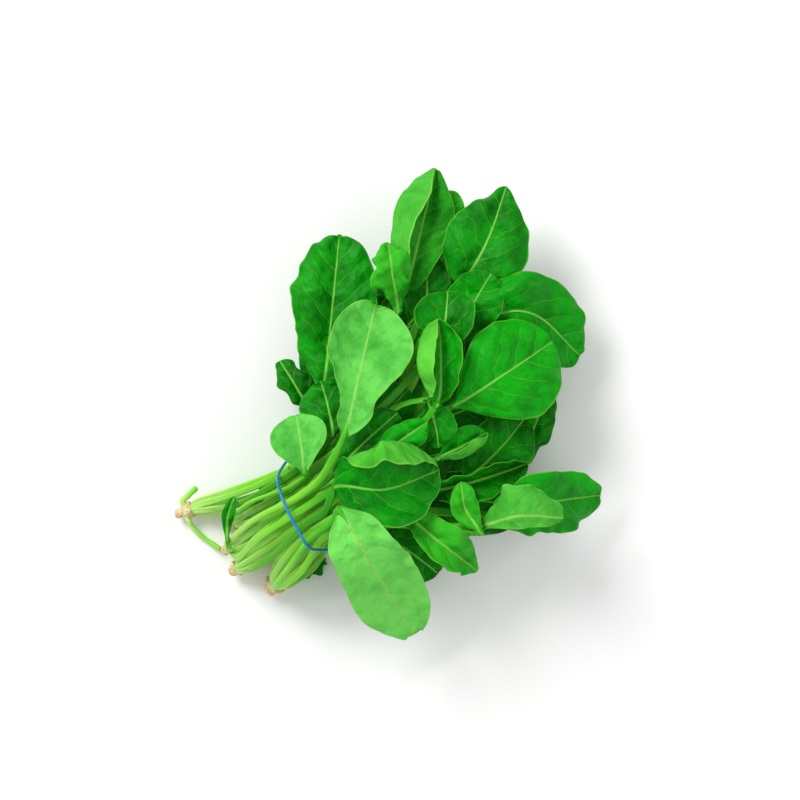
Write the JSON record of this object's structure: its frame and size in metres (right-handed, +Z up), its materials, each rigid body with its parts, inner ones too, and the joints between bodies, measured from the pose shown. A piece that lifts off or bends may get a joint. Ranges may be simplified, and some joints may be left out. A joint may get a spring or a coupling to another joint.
{
  "type": "bunch of arugula",
  "caption": "Tied bunch of arugula lying on its side: broad green leaves fan out from pale stems that end in root crowns, held by a thin blue elastic tie.",
  "frame": {"origin": "on the ground under the middle of the bunch's bounding box", "axes": "+Z up from the ground the bunch lies on; +X and +Y along the ground, with the root crowns towards -X and -Y and the leaves fanned towards +X and +Y"},
  "size_m": [0.2382, 0.259, 0.0908],
  "materials": {
    "leaf_dark": "satin",
    "leaf_mid": "satin",
    "leaf_bright": "satin",
    "leaf_underside": "matte",
    "root_crown": "matte",
    "tie": "satin"
  },
  "bodies": {
    "root": {"leaf_ground_1": "leaf_dark", "leaf_ground_2": "leaf_dark", "leaf_ground_3": "leaf_dark", "leaf_ground_4": "leaf_dark", "leaf_ground_5": "leaf_dark", "leaf_ground_6": "leaf_dark", "leaf_ground_7": "leaf_dark", "leaf_stem_ragged": "leaf_dark", "leaf_inner_1": "leaf_dark", "leaf_inner_2": "leaf_dark", "leaf_inner_3": "leaf_dark", "leaf_inner_4": "leaf_dark", "leaf_inner_5": "leaf_dark", "leaf_inner_6": "leaf_dark", "leaf_inner_7": "leaf_dark", "leaf_inner_8": "leaf_dark", "leaf_inner_9": "leaf_dark", "leaf_inner_10": "leaf_dark", "leaf_inner_11": "leaf_dark", "leaf_inner_12": "leaf_dark", "leaf_inner_13": "leaf_dark", "leaf_stem_broad": "leaf_mid", "leaf_lobed_left": "leaf_dark", "leaf_top_back": "leaf_bright", "leaf_left_large": "leaf_mid", "leaf_top_centre": "leaf_dark", "leaf_top_folded": "leaf_bright", "leaf_top_right": "leaf_mid", "leaf_crinkled": "leaf_bright", "leaf_right_back": "leaf_dark", "leaf_upper_inner": "leaf_dark", "leaf_right_shadow": "leaf_dark", "leaf_lower_inner": "leaf_dark", "leaf_centre_dark": "leaf_dark", "leaf_big_round": "leaf_mid", "leaf_trough": "leaf_dark", "leaf_right_end": "leaf_mid", "leaf_right_dome": "leaf_bright", "leaf_small_oval": "leaf_bright", "leaf_small_folded": "leaf_mid", "leaf_spade": "leaf_mid", "leaf_arched": "leaf_dark", "leaf_cupped": "leaf_mid", "leaf_neck_dark": "leaf_dark", "leaf_lower_pointed": "leaf_bright", "leaf_centre_cover": "leaf_dark", "leaf_centre_narrow": "leaf_mid", "leaf_centre_pale": "leaf_underside", "leaf_front_folded": "leaf_mid", "leaf_front_pale": "leaf_underside", "leaf_neck_pale": "leaf_underside", "leaf_stem_upright": "leaf_mid", "root_crown_1": "root_crown", "root_crown_2": "root_crown", "root_crown_3": "root_crown", "root_crown_4": "root_crown", "root_crown_5": "root_crown", "stem_curved": "leaf_underside", "stem_short": "leaf_underside", "elastic_tie": "tie"}
  },
  "joints": []
}
